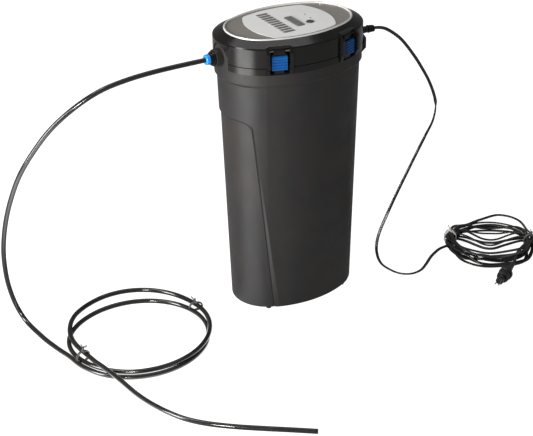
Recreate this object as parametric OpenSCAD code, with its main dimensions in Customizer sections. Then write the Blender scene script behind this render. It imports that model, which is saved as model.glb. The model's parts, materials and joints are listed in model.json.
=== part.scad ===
// Pond dosing canister: a tapered oval tank that holds a pouch of liquid, closed by a
// latched head with a peristaltic pump and a control panel. A thin dosing tube leaves one
// end through a push-fit port, and a two-core low-voltage lead leaves the other.
// The origin is the middle of the base on the floor. X runs along the long axis of the
// oval with the dosing port at -X, -Y is the front, and Z is up. Millimetres.

/* [Canister] */
// Length of the head over its skirt
body_l = 203; // [198:1:208]
// Width of the head over its skirt
body_w = 145; // [142:1:148]
// Height to the top of the trim ring
total_h = 391.5; // [385:0.5:400]
// How far the foot of the tank stands inside the skirt line
foot_inset = 12.4; // [12:0.1:16]
// Wall of the tank
wall = 2.5; // [2:0.1:3]
// Depth of the recessed end panel
panel_depth = 2.1; // [0.8:0.1:2.4]

/* [Head] */
// Height of the matte collar at the top of the tank
collar_h = 14; // [12:1:16]
// Height of the glossy lip over the collar
lip_h = 9.7; // [9:0.1:11]
// Height of the skirt over the lip
skirt_h = 25; // [24:1:27]
// Width of the silver trim ring
ring_w = 2.6; // [2:0.1:4]

/* [Latches] */
// Distance of each latch from the middle of the head
latch_x = 50.3; // [48:0.1:54]
// Width of a latch grip
latch_w = 19.5; // [16:0.5:20]
// Ribs on a latch grip
latch_ribs = 5; // [4:1:7]
// Radius of a latch hinge pin
latch_pin_r = 1.5; // [1.2:0.1:1.8]

/* [Ports and leads] */
// Height of the dosing port
port_z = 362.3; // [361:0.1:364]
// Outside diameter of the dosing tube
tube_d = 6.35; // [6:0.05:6.4]
// Height of the lead's entry
lead_z = 354.5; // [353:0.5:356]
// Diameter over both cores of the lead
lead_d = 4.6; // [4:0.1:4.8]

/* [Hidden] */
$fn = 96;

matte = "dimgray";
gloss = "#17171a";
blue = "#145aaa";
light_blue = "#3ca0f0";
steel = "silver";
white = "whitesmoke";
rubber = "#202022";

// The oval: end arcs and side arcs that meet smoothly. Every other outline is the same
// oval moved in or out, so its arcs keep these centres.
end_r = 64;
end_c = body_l / 2 - end_r;
side_r = (pow(end_c, 2) + pow(body_w / 2, 2) - pow(end_r, 2)) / (body_w - 2 * end_r);
side_c = side_r - body_w / 2;

// Levels
base_z = 2.4;
collar_z = total_h - 56.5;
rim_z = collar_z + collar_h;
seal_gap = 0.3;
lip_z = rim_z + seal_gap;
skirt_z = lip_z + lip_h;
shoulder_z = skirt_z + skirt_h;
panel_z = total_h - 2;
tub_z = total_h - 71.5;

// Insets from the skirt line
collar_in = 1;
neck_in = 3.9;
panel_foot = -23.5;
panel_low_x = 51;
panel_high_x = 78.5;
rim_in = 9.5;
tub_in = 11;
ring_in = 14;
fascia_in = ring_in + ring_w;

// End notches of the head, where the ears of the tank stand
notch_x = 82;
notch_w = 40;
ear_r = 17;
ear_in = 5;

// Latches: turned about the centre of the side arc
latch_a = asin(latch_x / side_r);
pocket_w = 25;
cheek = 3.9;
pocket_d = 9.5;
pivot_v = 4.5;
pivot_z = shoulder_z - 4.5;
hook_v = 5.9;
LATCHES = [[0, -1], [0, 1], [180, 1], [180, -1]];

// Port and gland stacks along X
ear_x = body_l / 2 - collar_in;
boss_h = 8;
port_face = ear_x + boss_h;
pad_out = 5;
pad_w = 60;
pad_h = 15;

// Panel artwork
bars = 10;
bar_pitch = 7.6;
bar_pos = [-18.5, 2.5];
bar_w = 5.3;
rocker_pos = [5.5, -5.5];
rocker_size = [10.8, 36];
button_pos = [22, -17];
button_d = 9.8;
lamps = [[30, 9], [29, -5.5]];
key_z = panel_z - 3;
key_pin_r = 1.2;

// Pump
pump_x = -20;
pump_z = tub_z + 3;
track_r = 25.5;
hose_d = 4.8;
orbit_r = 14.5;
roller_r = 5.5;
rotor_turn = 90;
inlet = [-58, track_r - hose_d / 2];

// Dosing tube: from the port in a wide arc down to the floor, along it to the first tie,
// two turns of a loose loop, and a tail with a bare cut end
tube_r = tube_d / 2;
tube_route = [
    [-98, 0, port_z], [-130, 0, port_z], [-160, 1, 362], [-194, 4, 360], [-227, 9, 355],
    [-258, 15, 346], [-288, 24, 328], [-316, 36, 302], [-337, 48, 272], [-355, 58, 240],
    [-367, 68, 205], [-375, 78, 168], [-379, 88, 128], [-378, 97, 92], [-374, 104, 58],
    [-368, 103, 28], [-362, 90, 9], [-357, 66, tube_r], [-353, 38, tube_r],
    [-347, 10, tube_r], [-340, -14, tube_r], [-332, -32, tube_r]
];
loop_pos = [-240, -12];
loop_r = 91;
tail_route = [
    [-322, -38, 10], [-318, -52, 8], [-315, -66, 5], [-312, -82, tube_r],
    [-307, -106, tube_r], [-301, -132, tube_r], [-293, -158, tube_r],
    [-283, -184, tube_r], [-270, -208, tube_r], [-252, -229, tube_r],
    [-228, -250, tube_r], [-200, -271, tube_r], [-172, -291, tube_r], [-146, -310, tube_r]
];

// Power lead: from the boot in a drooping arch to the floor, then along it to the coil
lead_r = lead_d / 2;
lead_route = [
    [100, 0, lead_z], [122, 0, lead_z], [134, 1, 354], [150, 4, 349], [166, 7, 339],
    [184, 10, 324], [203, 13, 302], [220, 12, 277], [238, 12, 246], [248, 10, 215],
    [242, 6, 191], [228, 2, 174], [215, 3, 150], [199, 3, 122], [182, 3, 92],
    [164, 1, 62], [149, -1, 34], [142, -6, 14], [138, -20, lead_r], [136, -40, lead_r],
    [142, -62, lead_r], [156, -73, lead_r], [174, -72, lead_r], [191, -62, lead_r],
    [206, -51, lead_r], [223, -37, lead_r], [240, -25, lead_r]
];
coil_pos = [306, -68];
coil_size = [150, 128];
coil_h = 20;
plug_pos = [279.3, -142.3, 9.9];
plug_dir = -150;

// The oval of the skirt moved in by d
module oval(d = 0) {
    reach = 3 * side_c;
    far_x = end_c * (side_c + reach) / side_c;
    for (s = [-1, 1]) {
        translate([s * end_c, 0]) circle(r = end_r - d);
        intersection() {
            translate([0, -s * side_c]) circle(r = side_r - d);
            polygon([[-end_c, 0], [end_c, 0], [far_x, s * reach], [-far_x, s * reach]]);
        }
    }
}

// A solid on that oval from z0 to z1, moved in by d0 at the bottom and d1 at the top
module oval_solid(z0, z1, d0, d1) {
    reach = 3 * side_c;
    far_x = end_c * (side_c + reach) / side_c;
    translate([0, 0, z0])
        for (s = [-1, 1]) {
            translate([s * end_c, 0, 0])
                cylinder(h = z1 - z0, r1 = end_r - d0, r2 = end_r - d1);
            intersection() {
                translate([0, -s * side_c, 0])
                    cylinder(h = z1 - z0, r1 = side_r - d0, r2 = side_r - d1);
                linear_extrude(height = z1 - z0)
                    polygon([[-end_c, 0], [end_c, 0],
                             [far_x, s * reach], [-far_x, s * reach]]);
            }
        }
}

// The same oval with the end notches cut out, for the head's base
module notched(d = 0, grow = 0) {
    difference() {
        oval(d);
        for (s = [-1, 1])
            translate([s * (notch_x - grow + 50), 0])
                square([100, notch_w + 2 * grow], center = true);
    }
}

// Places children at a latch: +X runs along the skirt, +Y goes inward, Z stays
module at_latch(i) {
    rotate([0, 0, LATCHES[i][0]])
        translate([0, side_c, 0])
            rotate([0, 0, LATCHES[i][1] * latch_a])
                translate([0, -side_r, 0])
                    children();
}

// A cylinder along X from x0 to x1 at height z
module rod_x(x0, x1, r, z, y = 0, sides = 0) {
    translate([x0, y, z])
        rotate([0, 90, 0])
            cylinder(h = x1 - x0, r = r, $fn = sides > 0 ? sides : $fn);
}

// A box given by two corners
module span(a, b) {
    translate(a)
        cube(b - a);
}

// Outline of an ear seen along X, extruded along X from x0 to x1
module ear_profile(x0, x1, r, drop, z0) {
    rod_x(x0, x1, r, port_z);
    span([x0, -r - drop, z0], [x1, r + drop, port_z + 6]);
}

// A smooth curve through route points: each stretch is cut into n steps
function curve(p, n) = [
    for (i = [0:len(p) - 2], k = [0:n - 1])
        let (a = p[max(i - 1, 0)], b = p[i], c = p[i + 1], d = p[min(i + 2, len(p) - 1)],
             t = k / n)
            0.5 * (2 * b + (c - a) * t + (2 * a - 5 * b + 4 * c - d) * t * t
                   + (3 * b - a - 3 * c + d) * t * t * t),
    p[len(p) - 1]
];
function grounded(p, r) = [for (q = p) [q.x, q.y, max(q.z, r)]];
function unit(v) = v / norm(v);
function tangents(p) = [
    for (i = [0:len(p) - 1]) unit(p[min(i + 1, len(p) - 1)] - p[max(i - 1, 0)])
];
// Normals carried along the curve without twist
function carried(t, i, n) =
    i == len(t) ? [] : let (m = unit(n - (n * t[i]) * t[i])) concat([m], carried(t, i + 1, m));

// A closed tube of diameter d along the points, with flat ends
module cable(points, d, sides = 8) {
    t = tangents(points);
    n = carried(t, 0, unit(cross(t[0], [0.1, 0.9, 0.4])));
    rings = len(points);
    skin = [
        for (i = [0:rings - 1], k = [0:sides - 1])
            let (a = 360 * k / sides, b = cross(t[i], n[i]))
                points[i] + d / 2 * (n[i] * cos(a) + b * sin(a))
    ];
    quads = [
        for (i = [0:rings - 2], k = [0:sides - 1])
            let (m = (k + 1) % sides)
                [i * sides + k, (i + 1) * sides + k, (i + 1) * sides + m, i * sides + m]
    ];
    first = [for (k = [0:sides - 1]) k];
    last = [for (k = [sides - 1:-1:0]) (rings - 1) * sides + k];
    polyhedron(points = skin, faces = concat([first], quads, [last]), convexity = 6);
}

module canister_shell() color(matte) {
    panel_top = collar_z - 52;
    difference() {
        union() {
            oval_solid(base_z, base_z + 2, foot_inset + 0.8, foot_inset);
            oval_solid(base_z + 2, collar_z, foot_inset, neck_in);
            oval_solid(collar_z - 4, collar_z, neck_in, collar_in);
            oval_solid(collar_z, rim_z, collar_in, collar_in);
            ears();
            cord_pad();
        }
        difference() {
            oval_solid(base_z + wall, collar_z + 0.01, foot_inset + wall, neck_in + wall);
            end_panel(panel_top, wall - 0.4);
        }
        oval_solid(collar_z, rim_z + 0.01, rim_in, rim_in);
        // Groove for the gasket
        difference() {
            oval_solid(rim_z - 1.6, rim_z + 0.2, 3.4, 3.4);
            oval_solid(rim_z - 2, rim_z + 1, 6.4, 6.4);
        }
        end_panel(panel_top, 0);
        panel_groove(panel_top);
        for (y = [-1, 1])
            scale([-1, y, 1])
                panel_edge(panel_top);
        rod_x(-port_face - 1, -80, 6.1, port_z);
        rod_x(80, port_face + 20, 4.05, lead_z);
    }
}

// What the end panel below the port takes off the wall, and, grown by a wall, its inner
// face behind it
module end_panel(top, grown) {
    low_x = panel_low_x - grown;
    high_x = panel_high_x - grown;
    corner = 12;
    depth = panel_depth + grown;
    high = top + grown;
    intersection() {
        difference() {
            oval_solid(base_z - 1, high, foot_inset - 4, neck_in + 1.3 - 4);
            oval_solid(base_z - 2, high + 1, foot_inset + depth, neck_in + 1.3 + depth);
        }
        rotate([90, 0, 0])
            linear_extrude(height = 2 * body_w, center = true)
                intersection() {
                    offset(r = corner) offset(delta = -corner)
                        polygon([[-low_x, panel_foot], [-high_x, high],
                                 [-body_l, high], [-body_l, panel_foot]]);
                    translate([-body_l, base_z - 3])
                        square([2 * body_l, high]);
                }
    }
}

// Fine groove inside the end panel's upper and upright edges
module panel_groove(top) {
    deep = panel_depth + 0.8;
    intersection() {
        difference() {
            oval_solid(base_z - 1, top, foot_inset + 1, neck_in + 2.3);
            oval_solid(base_z - 2, top + 1, foot_inset + deep, neck_in + 1.3 + deep);
        }
        rotate([90, 0, 0])
            linear_extrude(height = 2 * body_w, center = true)
                difference() {
                    panel_outline(top);
                    translate([-0.75, -2.4])
                        panel_outline(top);
                    translate([-body_l - 1, panel_foot - 4])
                        square([body_l, base_z + 4 - panel_foot]);
                }
    }
}

module panel_outline(top) {
    offset(r = 12) offset(delta = -12)
        polygon([[-panel_low_x, panel_foot], [-panel_high_x, top],
                 [-body_l - 20, top], [-body_l - 20, panel_foot]]);
}

// Sloping step along an upright edge of the end panel, wider towards the foot
module panel_edge(top) {
    n = 9;
    high = top - 11;
    skin = [
        for (i = [0:n])
            let (t = i / n, z = base_z - 1 + (high - base_z + 1) * t,
                 inset = foot_inset + (neck_in + 1.3 - foot_inset) * t,
                 x = 0.3 - end_c + panel_low_x + (panel_high_x - panel_low_x)
                     * (z - panel_foot) / (top - panel_foot),
                 r = end_r - inset - panel_depth,
                 y = sqrt(r * r - x * x), out = [x, -y] / r, along = [y, x] / r,
                 p = [x + end_c, -y], w = 6.3 - 1.5 * t - 3.3 * t * t)
                each [[p.x, p.y, z],
                      [p.x + out.x * panel_depth * 1.5 - along.x * w * 1.5,
                       p.y + out.y * panel_depth * 1.5 - along.y * w * 1.5, z],
                      [p.x + out.x * panel_depth * 2 + along.x,
                       p.y + out.y * panel_depth * 2 + along.y, z]]
    ];
    sides = [
        for (i = [0:n - 1], k = [0:2])
            let (m = (k + 1) % 3, a = 3 * i)
                each [[a + k, a + 3 + k, a + 3 + m], [a + k, a + 3 + m, a + m]]
    ];
    polyhedron(points = skin, faces = concat([[0, 1, 2]], sides,
                                             [[3 * n + 2, 3 * n + 1, 3 * n]]));
}

// Raised ears at both ends of the rim, with the round boss of the dosing port
module ears() {
    for (s = [-1, 1])
        intersection() {
            difference() {
                oval_solid(rim_z - 3, port_z + ear_r + 1, collar_in, collar_in);
                oval_solid(rim_z - 4, port_z + ear_r + 2, ear_in, ear_in);
            }
            if (s < 0) ear_profile(-body_l, -60, ear_r, 0.7, rim_z - 3);
            if (s > 0) ear_profile(60, body_l, ear_r, 0.7, rim_z - 3);
        }
    rod_x(-port_face, -ear_x + 2, 11.3, port_z);
}

// Upright pad at the lead's end: its top stands clear of the skirt
module cord_pad() {
    pad_z = rim_z - 11;
    intersection() {
        union() {
            oval_solid(pad_z, pad_z + pad_out, collar_in, -pad_out);
            oval_solid(pad_z + pad_out, rim_z, -pad_out, -pad_out);
            difference() {
                oval_solid(rim_z - 0.01, pad_z + 3 + pad_h, -pad_out, -pad_out);
                oval_solid(rim_z - 1, pad_z + 4 + pad_h, -1.4, -1.4);
            }
            rod_x(ear_x - 2, ear_x + 3, 7, lead_z);
        }
        span([end_c, -pad_w / 2, pad_z - 1], [body_l, pad_w / 2, total_h]);
    }
}

// Catches on the rim that the latches hook on
module latch_keepers() color(matte)
    for (i = [0:3])
        at_latch(i) {
            span([-6, 7.2, rim_z], [6, rim_in, rim_z + 8]);
            span([-6, hook_v + 0.5, rim_z + 5], [6, 7.3, rim_z + 8]);
        }

module feet() color(rubber) {
    for (x = [-59, 59], y = [-41, 41])
        translate([x, y, 0])
            cylinder(h = base_z, r1 = 3.5, r2 = 3.9, $fn = 40);
}

module rim_gasket() color("dimgray") {
    difference() {
        oval_solid(rim_z - 1.6, rim_z + 0.1, 3.5, 3.5);
        oval_solid(rim_z - 2, rim_z + 1, 6.3, 6.3);
    }
}

module port_body() color(gloss) {
    difference() {
        union() {
            rod_x(-port_face - 3.2, -port_face, 9.5, port_z);
            rod_x(-port_face - 5.4, -port_face - 3.2, 7.8, port_z);
            rod_x(-port_face, -91.5, 6, port_z);
            rod_x(-91.5, -90.5, 3.5, port_z);
        }
        rod_x(-port_face - 6, -98, 4.6, port_z);
        rod_x(-98.1, -94, 3.3, port_z);
        rod_x(-94.1, -90, 2.2, port_z);
    }
}

module port_nut() color(gloss) {
    difference() {
        rod_x(-ear_x + ear_in - 0.1, -91.5, 9, port_z, 0, 6);
        rod_x(-100, -90, 6, port_z);
    }
}

module port_oring() color(rubber) {
    translate([-99, 0, port_z])
        rotate([0, 90, 0])
            rotate_extrude()
                translate([3.9, 0])
                    circle(r = 0.65, $fn = 24);
}

module grab_ring() color(steel) {
    difference() {
        rod_x(-100.6, -100.2, 4.55, port_z);
        rod_x(-101, -100, 3.3, port_z);
    }
}

// Blue release collet: pressed in to let the tube go
module collet() color(light_blue) {
    face = -port_face - 12;
    difference() {
        union() {
            rod_x(face + 1, face + 5, 6.7, port_z);
            translate([face, 0, port_z])
                rotate([0, 90, 0])
                    cylinder(h = 1, r1 = 5.9, r2 = 6.7);
            rod_x(face + 5, -103, 4.5, port_z);
        }
        rod_x(face - 1, -102, 3.4, port_z);
    }
}

// Elbow on the port's inner end, open upward for the pump's outlet
module dock_socket() color(gloss) {
    difference() {
        union() {
            translate([-87, 0, port_z - 6])
                cylinder(h = 11.5, r = 4.6);
            rod_x(-91.4, -87, 4, port_z);
        }
        rod_x(-92, -90.45, 3.56, port_z);
        rod_x(-91, -87, 2.2, port_z);
        translate([-87, 0, port_z - 3])
            cylinder(h = 13, r = 3.1);
    }
}

module pouch() color("lightsteelblue") {
    difference() {
        union() {
            oval_solid(base_z + wall, 40, 38, 24);
            oval_solid(40, 200, 24, 22);
            oval_solid(200, 246, 22, 48);
        }
        translate([inlet.x, inlet.y, 226])
            cylinder(h = 60, r = 12);
    }
}

module pouch_spout() color(white) {
    translate([inlet.x, inlet.y, 226])
        difference() {
            union() {
                cylinder(h = 4, r = 11.9);
                cylinder(h = 50, r = 9);
            }
            translate([0, 0, -1])
                cylinder(h = 60, r = 7);
        }
}

// Cap with a dry-break socket for the pump's inlet
module pouch_cap() color(white) {
    translate([inlet.x, inlet.y, 276]) {
        difference() {
            union() {
                translate([0, 0, -10])
                    cylinder(h = 12, r = 11.5);
                cylinder(h = 14, r = 6);
            }
            translate([0, 0, -11])
                cylinder(h = 11, r = 9.05);
            translate([0, 0, -2])
                cylinder(h = 20, r = 3.3);
        }
    }
}

module cord_gland() color(gloss) {
    difference() {
        rod_x(91.5, ear_x - ear_in + 0.4, 5, lead_z, 0, 6);
        rod_x(90, 100, 4, lead_z);
    }
}

// Ribbed strain relief on the lead's entry
module cord_boot() color(rubber) {
    face = body_l / 2 + pad_out;
    difference() {
        union() {
            rod_x(91, face + 14, 3.3, lead_z);
            rod_x(91, face, 4, lead_z);
            for (k = [0:3])
                rod_x(face + 3.3 * k, face + 3.3 * k + 2, 5.4 - 0.3 * k, lead_z);
        }
        rod_x(90, face + 16, lead_r + 0.02, lead_z);
    }
}

module power_socket() color(gloss) {
    difference() {
        span([84, -6.5, lead_z - 5], [91, 6.5, lead_z + 7]);
        for (y = [-3, 3])
            translate([87.5, y, lead_z - 3])
                cylinder(h = 12, r = 1.4, $fn = 32);
    }
}

module power_cord() color(rubber)
    cable(grounded(curve(lead_route, 3), lead_r), lead_d);

// Outer shape of the tied coil
module cord_coil() color(rubber)
    translate([coil_pos.x, coil_pos.y, 0])
        rotate([0, 0, -20])
            coil_block(0, 0, coil_h);

// A round-ended block the size of the coil, moved in by d
module coil_block(d, z0, z1) {
    r = coil_size.y / 2;
    for (s = [-1, 1])
        translate([s * (coil_size.x / 2 - r), 0, z0])
            cylinder(h = z1 - z0, r = r - d);
    translate([0, 0, (z0 + z1) / 2])
        cube([coil_size.x - 2 * r, 2 * (r - d), z1 - z0], center = true);
}

module cord_ties() color("gainsboro") {
    for (p = [[266, -24], [350, -104]])
        translate([p.x, p.y, coil_h])
            rotate([0, 0, 35])
                translate([-6, -2, 0])
                    cube([12, 4, 2]);
}

// Places children on the plug's axis, which is +Z here and points to the pins
module at_plug() {
    translate(plug_pos)
        rotate([0, 90, plug_dir])
            children();
}

module plug_body() color(rubber)
    at_plug() {
        translate([0, 0, -12])
            cylinder(h = 12, r1 = 3, r2 = 4);
        cylinder(h = 14, r1 = 4, r2 = 6.5);
        translate([0, 0, 14])
            cylinder(h = 16, r = 6.5);
        translate([0, 0, 30])
            cylinder(h = 13, r = 5.4);
    }

// Loose locking ring of the plug
module plug_ring() color(rubber)
    at_plug()
        difference() {
            union() {
                translate([0, 0, 17])
                    cylinder(h = 4, r = 9.8);
                translate([0, 0, 21])
                    cylinder(h = 11, r = 8.2);
                for (k = [0:15])
                    rotate([0, 0, 22.5 * k])
                        translate([8.1, 0, 21])
                            cylinder(h = 9.5, r = 0.7, $fn = 16);
            }
            translate([0, 0, 16])
                cylinder(h = 14.3, r = 6.6);
            translate([0, 0, 30.2])
                cylinder(h = 3, r = 6);
        }

module plug_pins() color(steel)
    at_plug()
        for (y = [-2.6, 2.6])
            translate([0, y, 43])
                cylinder(h = 10, r = 0.8, $fn = 24);

module tube_run() color(rubber)
    cable(grounded(curve(tube_route, 3), tube_r), tube_d);

// Outer shape of the two loose turns
module tube_coil() color(rubber)
    translate([loop_pos.x, loop_pos.y, 0])
        rotate_extrude()
            translate([loop_r - 9, 0])
                square([18, 2 * tube_d]);

module tube_tail() color(rubber)
    cable(grounded(curve(tail_route, 4), tube_r), tube_d);

module tube_ties() color("gray") {
    for (p = [[-328, -34, 10], [-150, 2, 75]])
        translate([p.x, p.y, 2 * tube_d])
            rotate([0, 0, p.z])
                translate([-6, -1.5, 0])
                    cube([12, 3, 2]);
}

// Glossy cover of the head: skirt, crown and latch frames
module head_cover() color(gloss) {
    t = 2.5;
    difference() {
        union() {
            difference() {
                union() {
                    oval_solid(skirt_z, shoulder_z - 1.5, 0, 0);
                    oval_solid(shoulder_z - 1.5, shoulder_z, 0, 1.5);
                    oval_solid(shoulder_z, panel_z + 0.6, 1.5, ring_in);
                }
                oval_solid(skirt_z - 1, shoulder_z - t, t, t);
                oval_solid(shoulder_z - t - 0.01, panel_z - 3.4, t, ring_in);
                oval_solid(panel_z - 4, panel_z + 1, fascia_in + 1, fascia_in + 1);
                // Seat of the fascia and the trim ring
                oval_solid(panel_z - 2, panel_z + 1, ring_in, ring_in);
            }
            difference() {
                for (i = [0:3])
                    at_latch(i)
                        latch_frame(i < 2 ? 1.5 : 0.2);
                oval_solid(shoulder_z, total_h, fascia_in + 1, fascia_in + 1);
            }
            for (p = screw_places)
                translate([p.x, p.y, skirt_z])
                    cylinder(h = shoulder_z - 1 - skirt_z, r = 3.4, $fn = 40);
        }
        for (p = screw_places)
            translate([p.x, p.y, skirt_z - 1])
                cylinder(h = 10, r = 1.55, $fn = 32);
        for (i = [0:3])
            at_latch(i) {
                span([-pocket_w / 2, -8, lip_z - 1], [pocket_w / 2, 2.5, total_h]);
                span([-pocket_w / 2, 2.4, lip_z - 1],
                     [pocket_w / 2, pocket_d, shoulder_z - 1]);
                translate([-pocket_w / 2 - 1.6, pivot_v, pivot_z])
                    rotate([0, 90, 0])
                        cylinder(h = pocket_w + 3.2, r = latch_pin_r, $fn = 40);
            }
        for (x = [-1, 1])
            ear_profile(x < 0 ? -body_l : 60, x < 0 ? -60 : body_l, ear_r + 1, 0.7, skirt_z - 1);
    }
}

// Two proud cheeks beside a latch and the lip that joins them over it, which stand above
// the shoulder by rise
module latch_frame(rise) {
    side = [[6.5, shoulder_z + rise], [2.5, shoulder_z + rise], [-4.3, pivot_z - 1.5],
            [-4.3, skirt_z - 1.2], [-2.5, skirt_z - 3], [-0.5, lip_z + 1], [5, lip_z + 1]];
    for (s = [-1, 1])
        translate([s > 0 ? pocket_w / 2 + cheek : -pocket_w / 2, 0, 0])
            rotate([0, -90, 0])
                linear_extrude(height = cheek)
                    polygon([for (p = side) [p.y, p.x]]);
    span([-pocket_w / 2 - 1, 2.5, shoulder_z - 1], [pocket_w / 2 + 1, 6.5,
                                            shoulder_z + 1.8 * rise]);
}

// Base of the head: glossy lip on the rim, and the tub that holds the pump
module head_base() color(gloss) {
    difference() {
        union() {
            difference() {
                union() {
                    oval_solid(lip_z, skirt_z - 1.2, 0.4, 0.4);
                    oval_solid(skirt_z - 1.2, skirt_z, 0.4, 1.8);
                }
                oval_solid(lip_z - 1, skirt_z + 1, tub_in, tub_in);
                for (s = [-1, 1])
                    span([s < 0 ? -body_l : notch_x, -ear_r - 1.7, lip_z - 1],
                         [s < 0 ? -notch_x : body_l, ear_r + 1.7, skirt_z + 1]);
            }
            translate([0, 0, tub_z])
                linear_extrude(height = skirt_z - tub_z)
                    notched(tub_in);
        }
        translate([0, 0, tub_z + 2])
            linear_extrude(height = skirt_z - tub_z)
                notched(tub_in + 2, 2);
        for (i = [0:3])
            at_latch(i)
                span([-pocket_w / 2 - cheek - 0.3, -8, lip_z - 1],
                     [pocket_w / 2 + cheek + 0.3, tub_in - 0.4, skirt_z + 1]);
        translate([inlet.x, inlet.y, tub_z - 1])
            cylinder(h = 4, r = 3.02);
        for (p = screw_places)
            translate([p.x, p.y, lip_z - 1])
                cylinder(h = 20, r = 1.6, $fn = 32);
        for (p = screw_places)
            translate([p.x, p.y, lip_z - 1])
                cylinder(h = 3.4, r = 2.9, $fn = 32);
    }
}

// The cover is held by four screws at its ends and two at its sides
screw_places = [
    for (x = [-76, 76], y = [-1, 1]) [x, y * 40],
    for (y = [-65.5, 65.5]) [0, y]
];

module trim_ring() color(steel) {
    difference() {
        union() {
            oval_solid(panel_z - 2, total_h - 0.8, ring_in + 0.02, ring_in + 0.02);
            oval_solid(total_h - 0.8, total_h, ring_in + 0.02, ring_in + 0.8);
        }
        oval_solid(panel_z - 3, total_h - 0.6, fascia_in, fascia_in);
        oval_solid(total_h - 0.61, total_h + 0.01, fascia_in, fascia_in - 0.6);
    }
}

module fascia() color("gray") {
    difference() {
        union() {
            difference() {
                oval_solid(panel_z - 2, panel_z, fascia_in, fascia_in);
                panel_holes(panel_z - 3, panel_z + 1);
            }
            // Lugs that carry the dose key
            for (s = [-1, 1])
                span([rocker_pos.x + s * 7.9 - 0.9, rocker_pos.y - 2.4, key_z - 2.2],
                     [rocker_pos.x + s * 7.9 + 0.9, rocker_pos.y + 2.4, panel_z - 1.9]);
        }
        rod_x(rocker_pos.x - 9.5, rocker_pos.x + 9.5, key_pin_r + 0.05, key_z, rocker_pos.y,
              40);
    }
}

// The label's light field, bounded by two arcs
module overlay() color("gainsboro") {
    difference() {
        translate([0, 0, panel_z])
            linear_extrude(height = 0.4)
                offset(r = 9) offset(delta = -9)
                    intersection() {
                        oval(fascia_in + 5.5);
                        translate([18.8, 0])
                            circle(r = 75);
                        translate([-17.6, 0])
                            circle(r = 75);
                    }
        panel_holes(panel_z - 1, panel_z + 1);
    }
}

// A key of size s centred on the origin, with round corners
module pill(s, z0, z1, r = 2.6) {
    translate([0, 0, z0])
        linear_extrude(height = z1 - z0) {
            for (x = [-1, 1], y = [-1, 1])
                translate([x * (s.x / 2 - r), y * (s.y / 2 - r)])
                    circle(r = r, $fn = 40);
            square([s.x, s.y - 2 * r], center = true);
            square([s.x - 2 * r, s.y], center = true);
        }
}

module panel_holes(z0, z1) {
    translate([rocker_pos.x, rocker_pos.y, 0])
        pill(rocker_size + [0.8, 0.8], z0, z1, 3);
    translate([button_pos.x, button_pos.y, z0])
        cylinder(h = z1 - z0, r = button_d / 2 + 0.4, $fn = 64);
    for (p = lamps)
        translate([p.x, p.y, z0])
            cylinder(h = z1 - z0, r = 1.65, $fn = 32);
}

// Ten level bars, each with a small lamp at its left end
module level_bars() color("#55585c") {
    for (k = [0:bars - 1])
        translate([bar_pos.x + 0.9, bar_pos.y + bar_pitch * (k - (bars - 1) / 2),
                   panel_z + 0.55])
            cube([15.2, bar_w, 0.3], center = true);
}

module indicator_lenses() color(white) {
    for (k = [0:bars - 1])
        translate([bar_pos.x - 8.5, bar_pos.y + bar_pitch * (k - (bars - 1) / 2),
                   panel_z + 0.4])
            cylinder(h = 0.4, r = 1.1, $fn = 24);
    for (p = lamps)
        translate([p.x, p.y, panel_z - 2])
            cylinder(h = 2.7, r = 1.6, $fn = 32);
}

// Two-way dose key that rocks on a cross pivot
module dose_rocker() color("darkgray") {
    translate([rocker_pos.x, rocker_pos.y, 0]) {
        pill(rocker_size, panel_z - 1.6, panel_z + 1.2);
        for (s = [-1, 1])
            translate([0, s * 12.5, panel_z + 1.1])
                cylinder(h = 0.4, r = 2.8, $fn = 3);
        for (s = [-1, 1])
            translate([0, s * 12, panel_z - 4.2])
                cylinder(h = 3, r = 1.5, $fn = 32);
        span([-5.2, -1.6, panel_z - 3.6], [5.2, 1.6, panel_z - 1]);
        rod_x(-8.6, 8.6, key_pin_r, key_z, 0, 40);
    }
}

module power_button() color("#303236") {
    translate([button_pos.x, button_pos.y, 0]) {
        translate([0, 0, panel_z - 1.6])
            cylinder(h = 2.8, r = button_d / 2, $fn = 64);
        translate([0, 0, panel_z - 4.2])
            cylinder(h = 3, r = 1.5, $fn = 32);
    }
}

board_z = panel_z - 9.6;

module circuit_board() color("darkgreen") {
    translate([0, 0, board_z])
        linear_extrude(height = 1.6)
            intersection() {
                oval(fascia_in + 8);
                square([118, 90], center = true);
            }
    for (x = [-50, 50], y = [-24, 24])
        translate([x, y, board_z + 1.6])
            cylinder(h = panel_z - 2 - board_z - 1.6, r = 2.5, $fn = 32);
}

// Tact switches under the dose key's two ends and under the power button
module switches() color("#303236") {
    top = board_z + 1.6;
    for (p = [rocker_pos + [0, 12], rocker_pos - [0, 12], button_pos])
        translate([p.x, p.y, top]) {
            translate([0, 0, 0.9])
                cube([6, 6, 1.8], center = true);
            cylinder(h = 2.5, r = 1.5, $fn = 24);
        }
}

module leds() color("palegreen") {
    top = board_z + 1.6;
    for (k = [0:bars - 1])
        translate([bar_pos.x - 8.4, bar_pos.y + bar_pitch * (k - (bars - 1) / 2), top])
            cylinder(h = 3, r = 1.4, $fn = 24);
    for (p = lamps)
        translate([p.x, p.y, top])
            cylinder(h = 3, r = 1.4, $fn = 24);
}

module cover_screws() color(steel) {
    for (p = screw_places)
        translate([p.x, p.y, lip_z + 0.4]) {
            cylinder(h = 2, r = 2.8, $fn = 32);
            cylinder(h = lip_h + 7, r = 1.5, $fn = 32);
        }
}

module gear_motor() color(steel) {
    translate([pump_x, 0, 0])
        difference() {
            union() {
                translate([0, 0, pump_z + 23])
                    cylinder(h = 20, r = 18.5);
                translate([0, 0, pump_z + 43])
                    cylinder(h = 9, r = 13.5);
            }
            translate([0, 0, pump_z + 22])
                cylinder(h = 10, r = 3.05, $fn = 40);
        }
}

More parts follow.
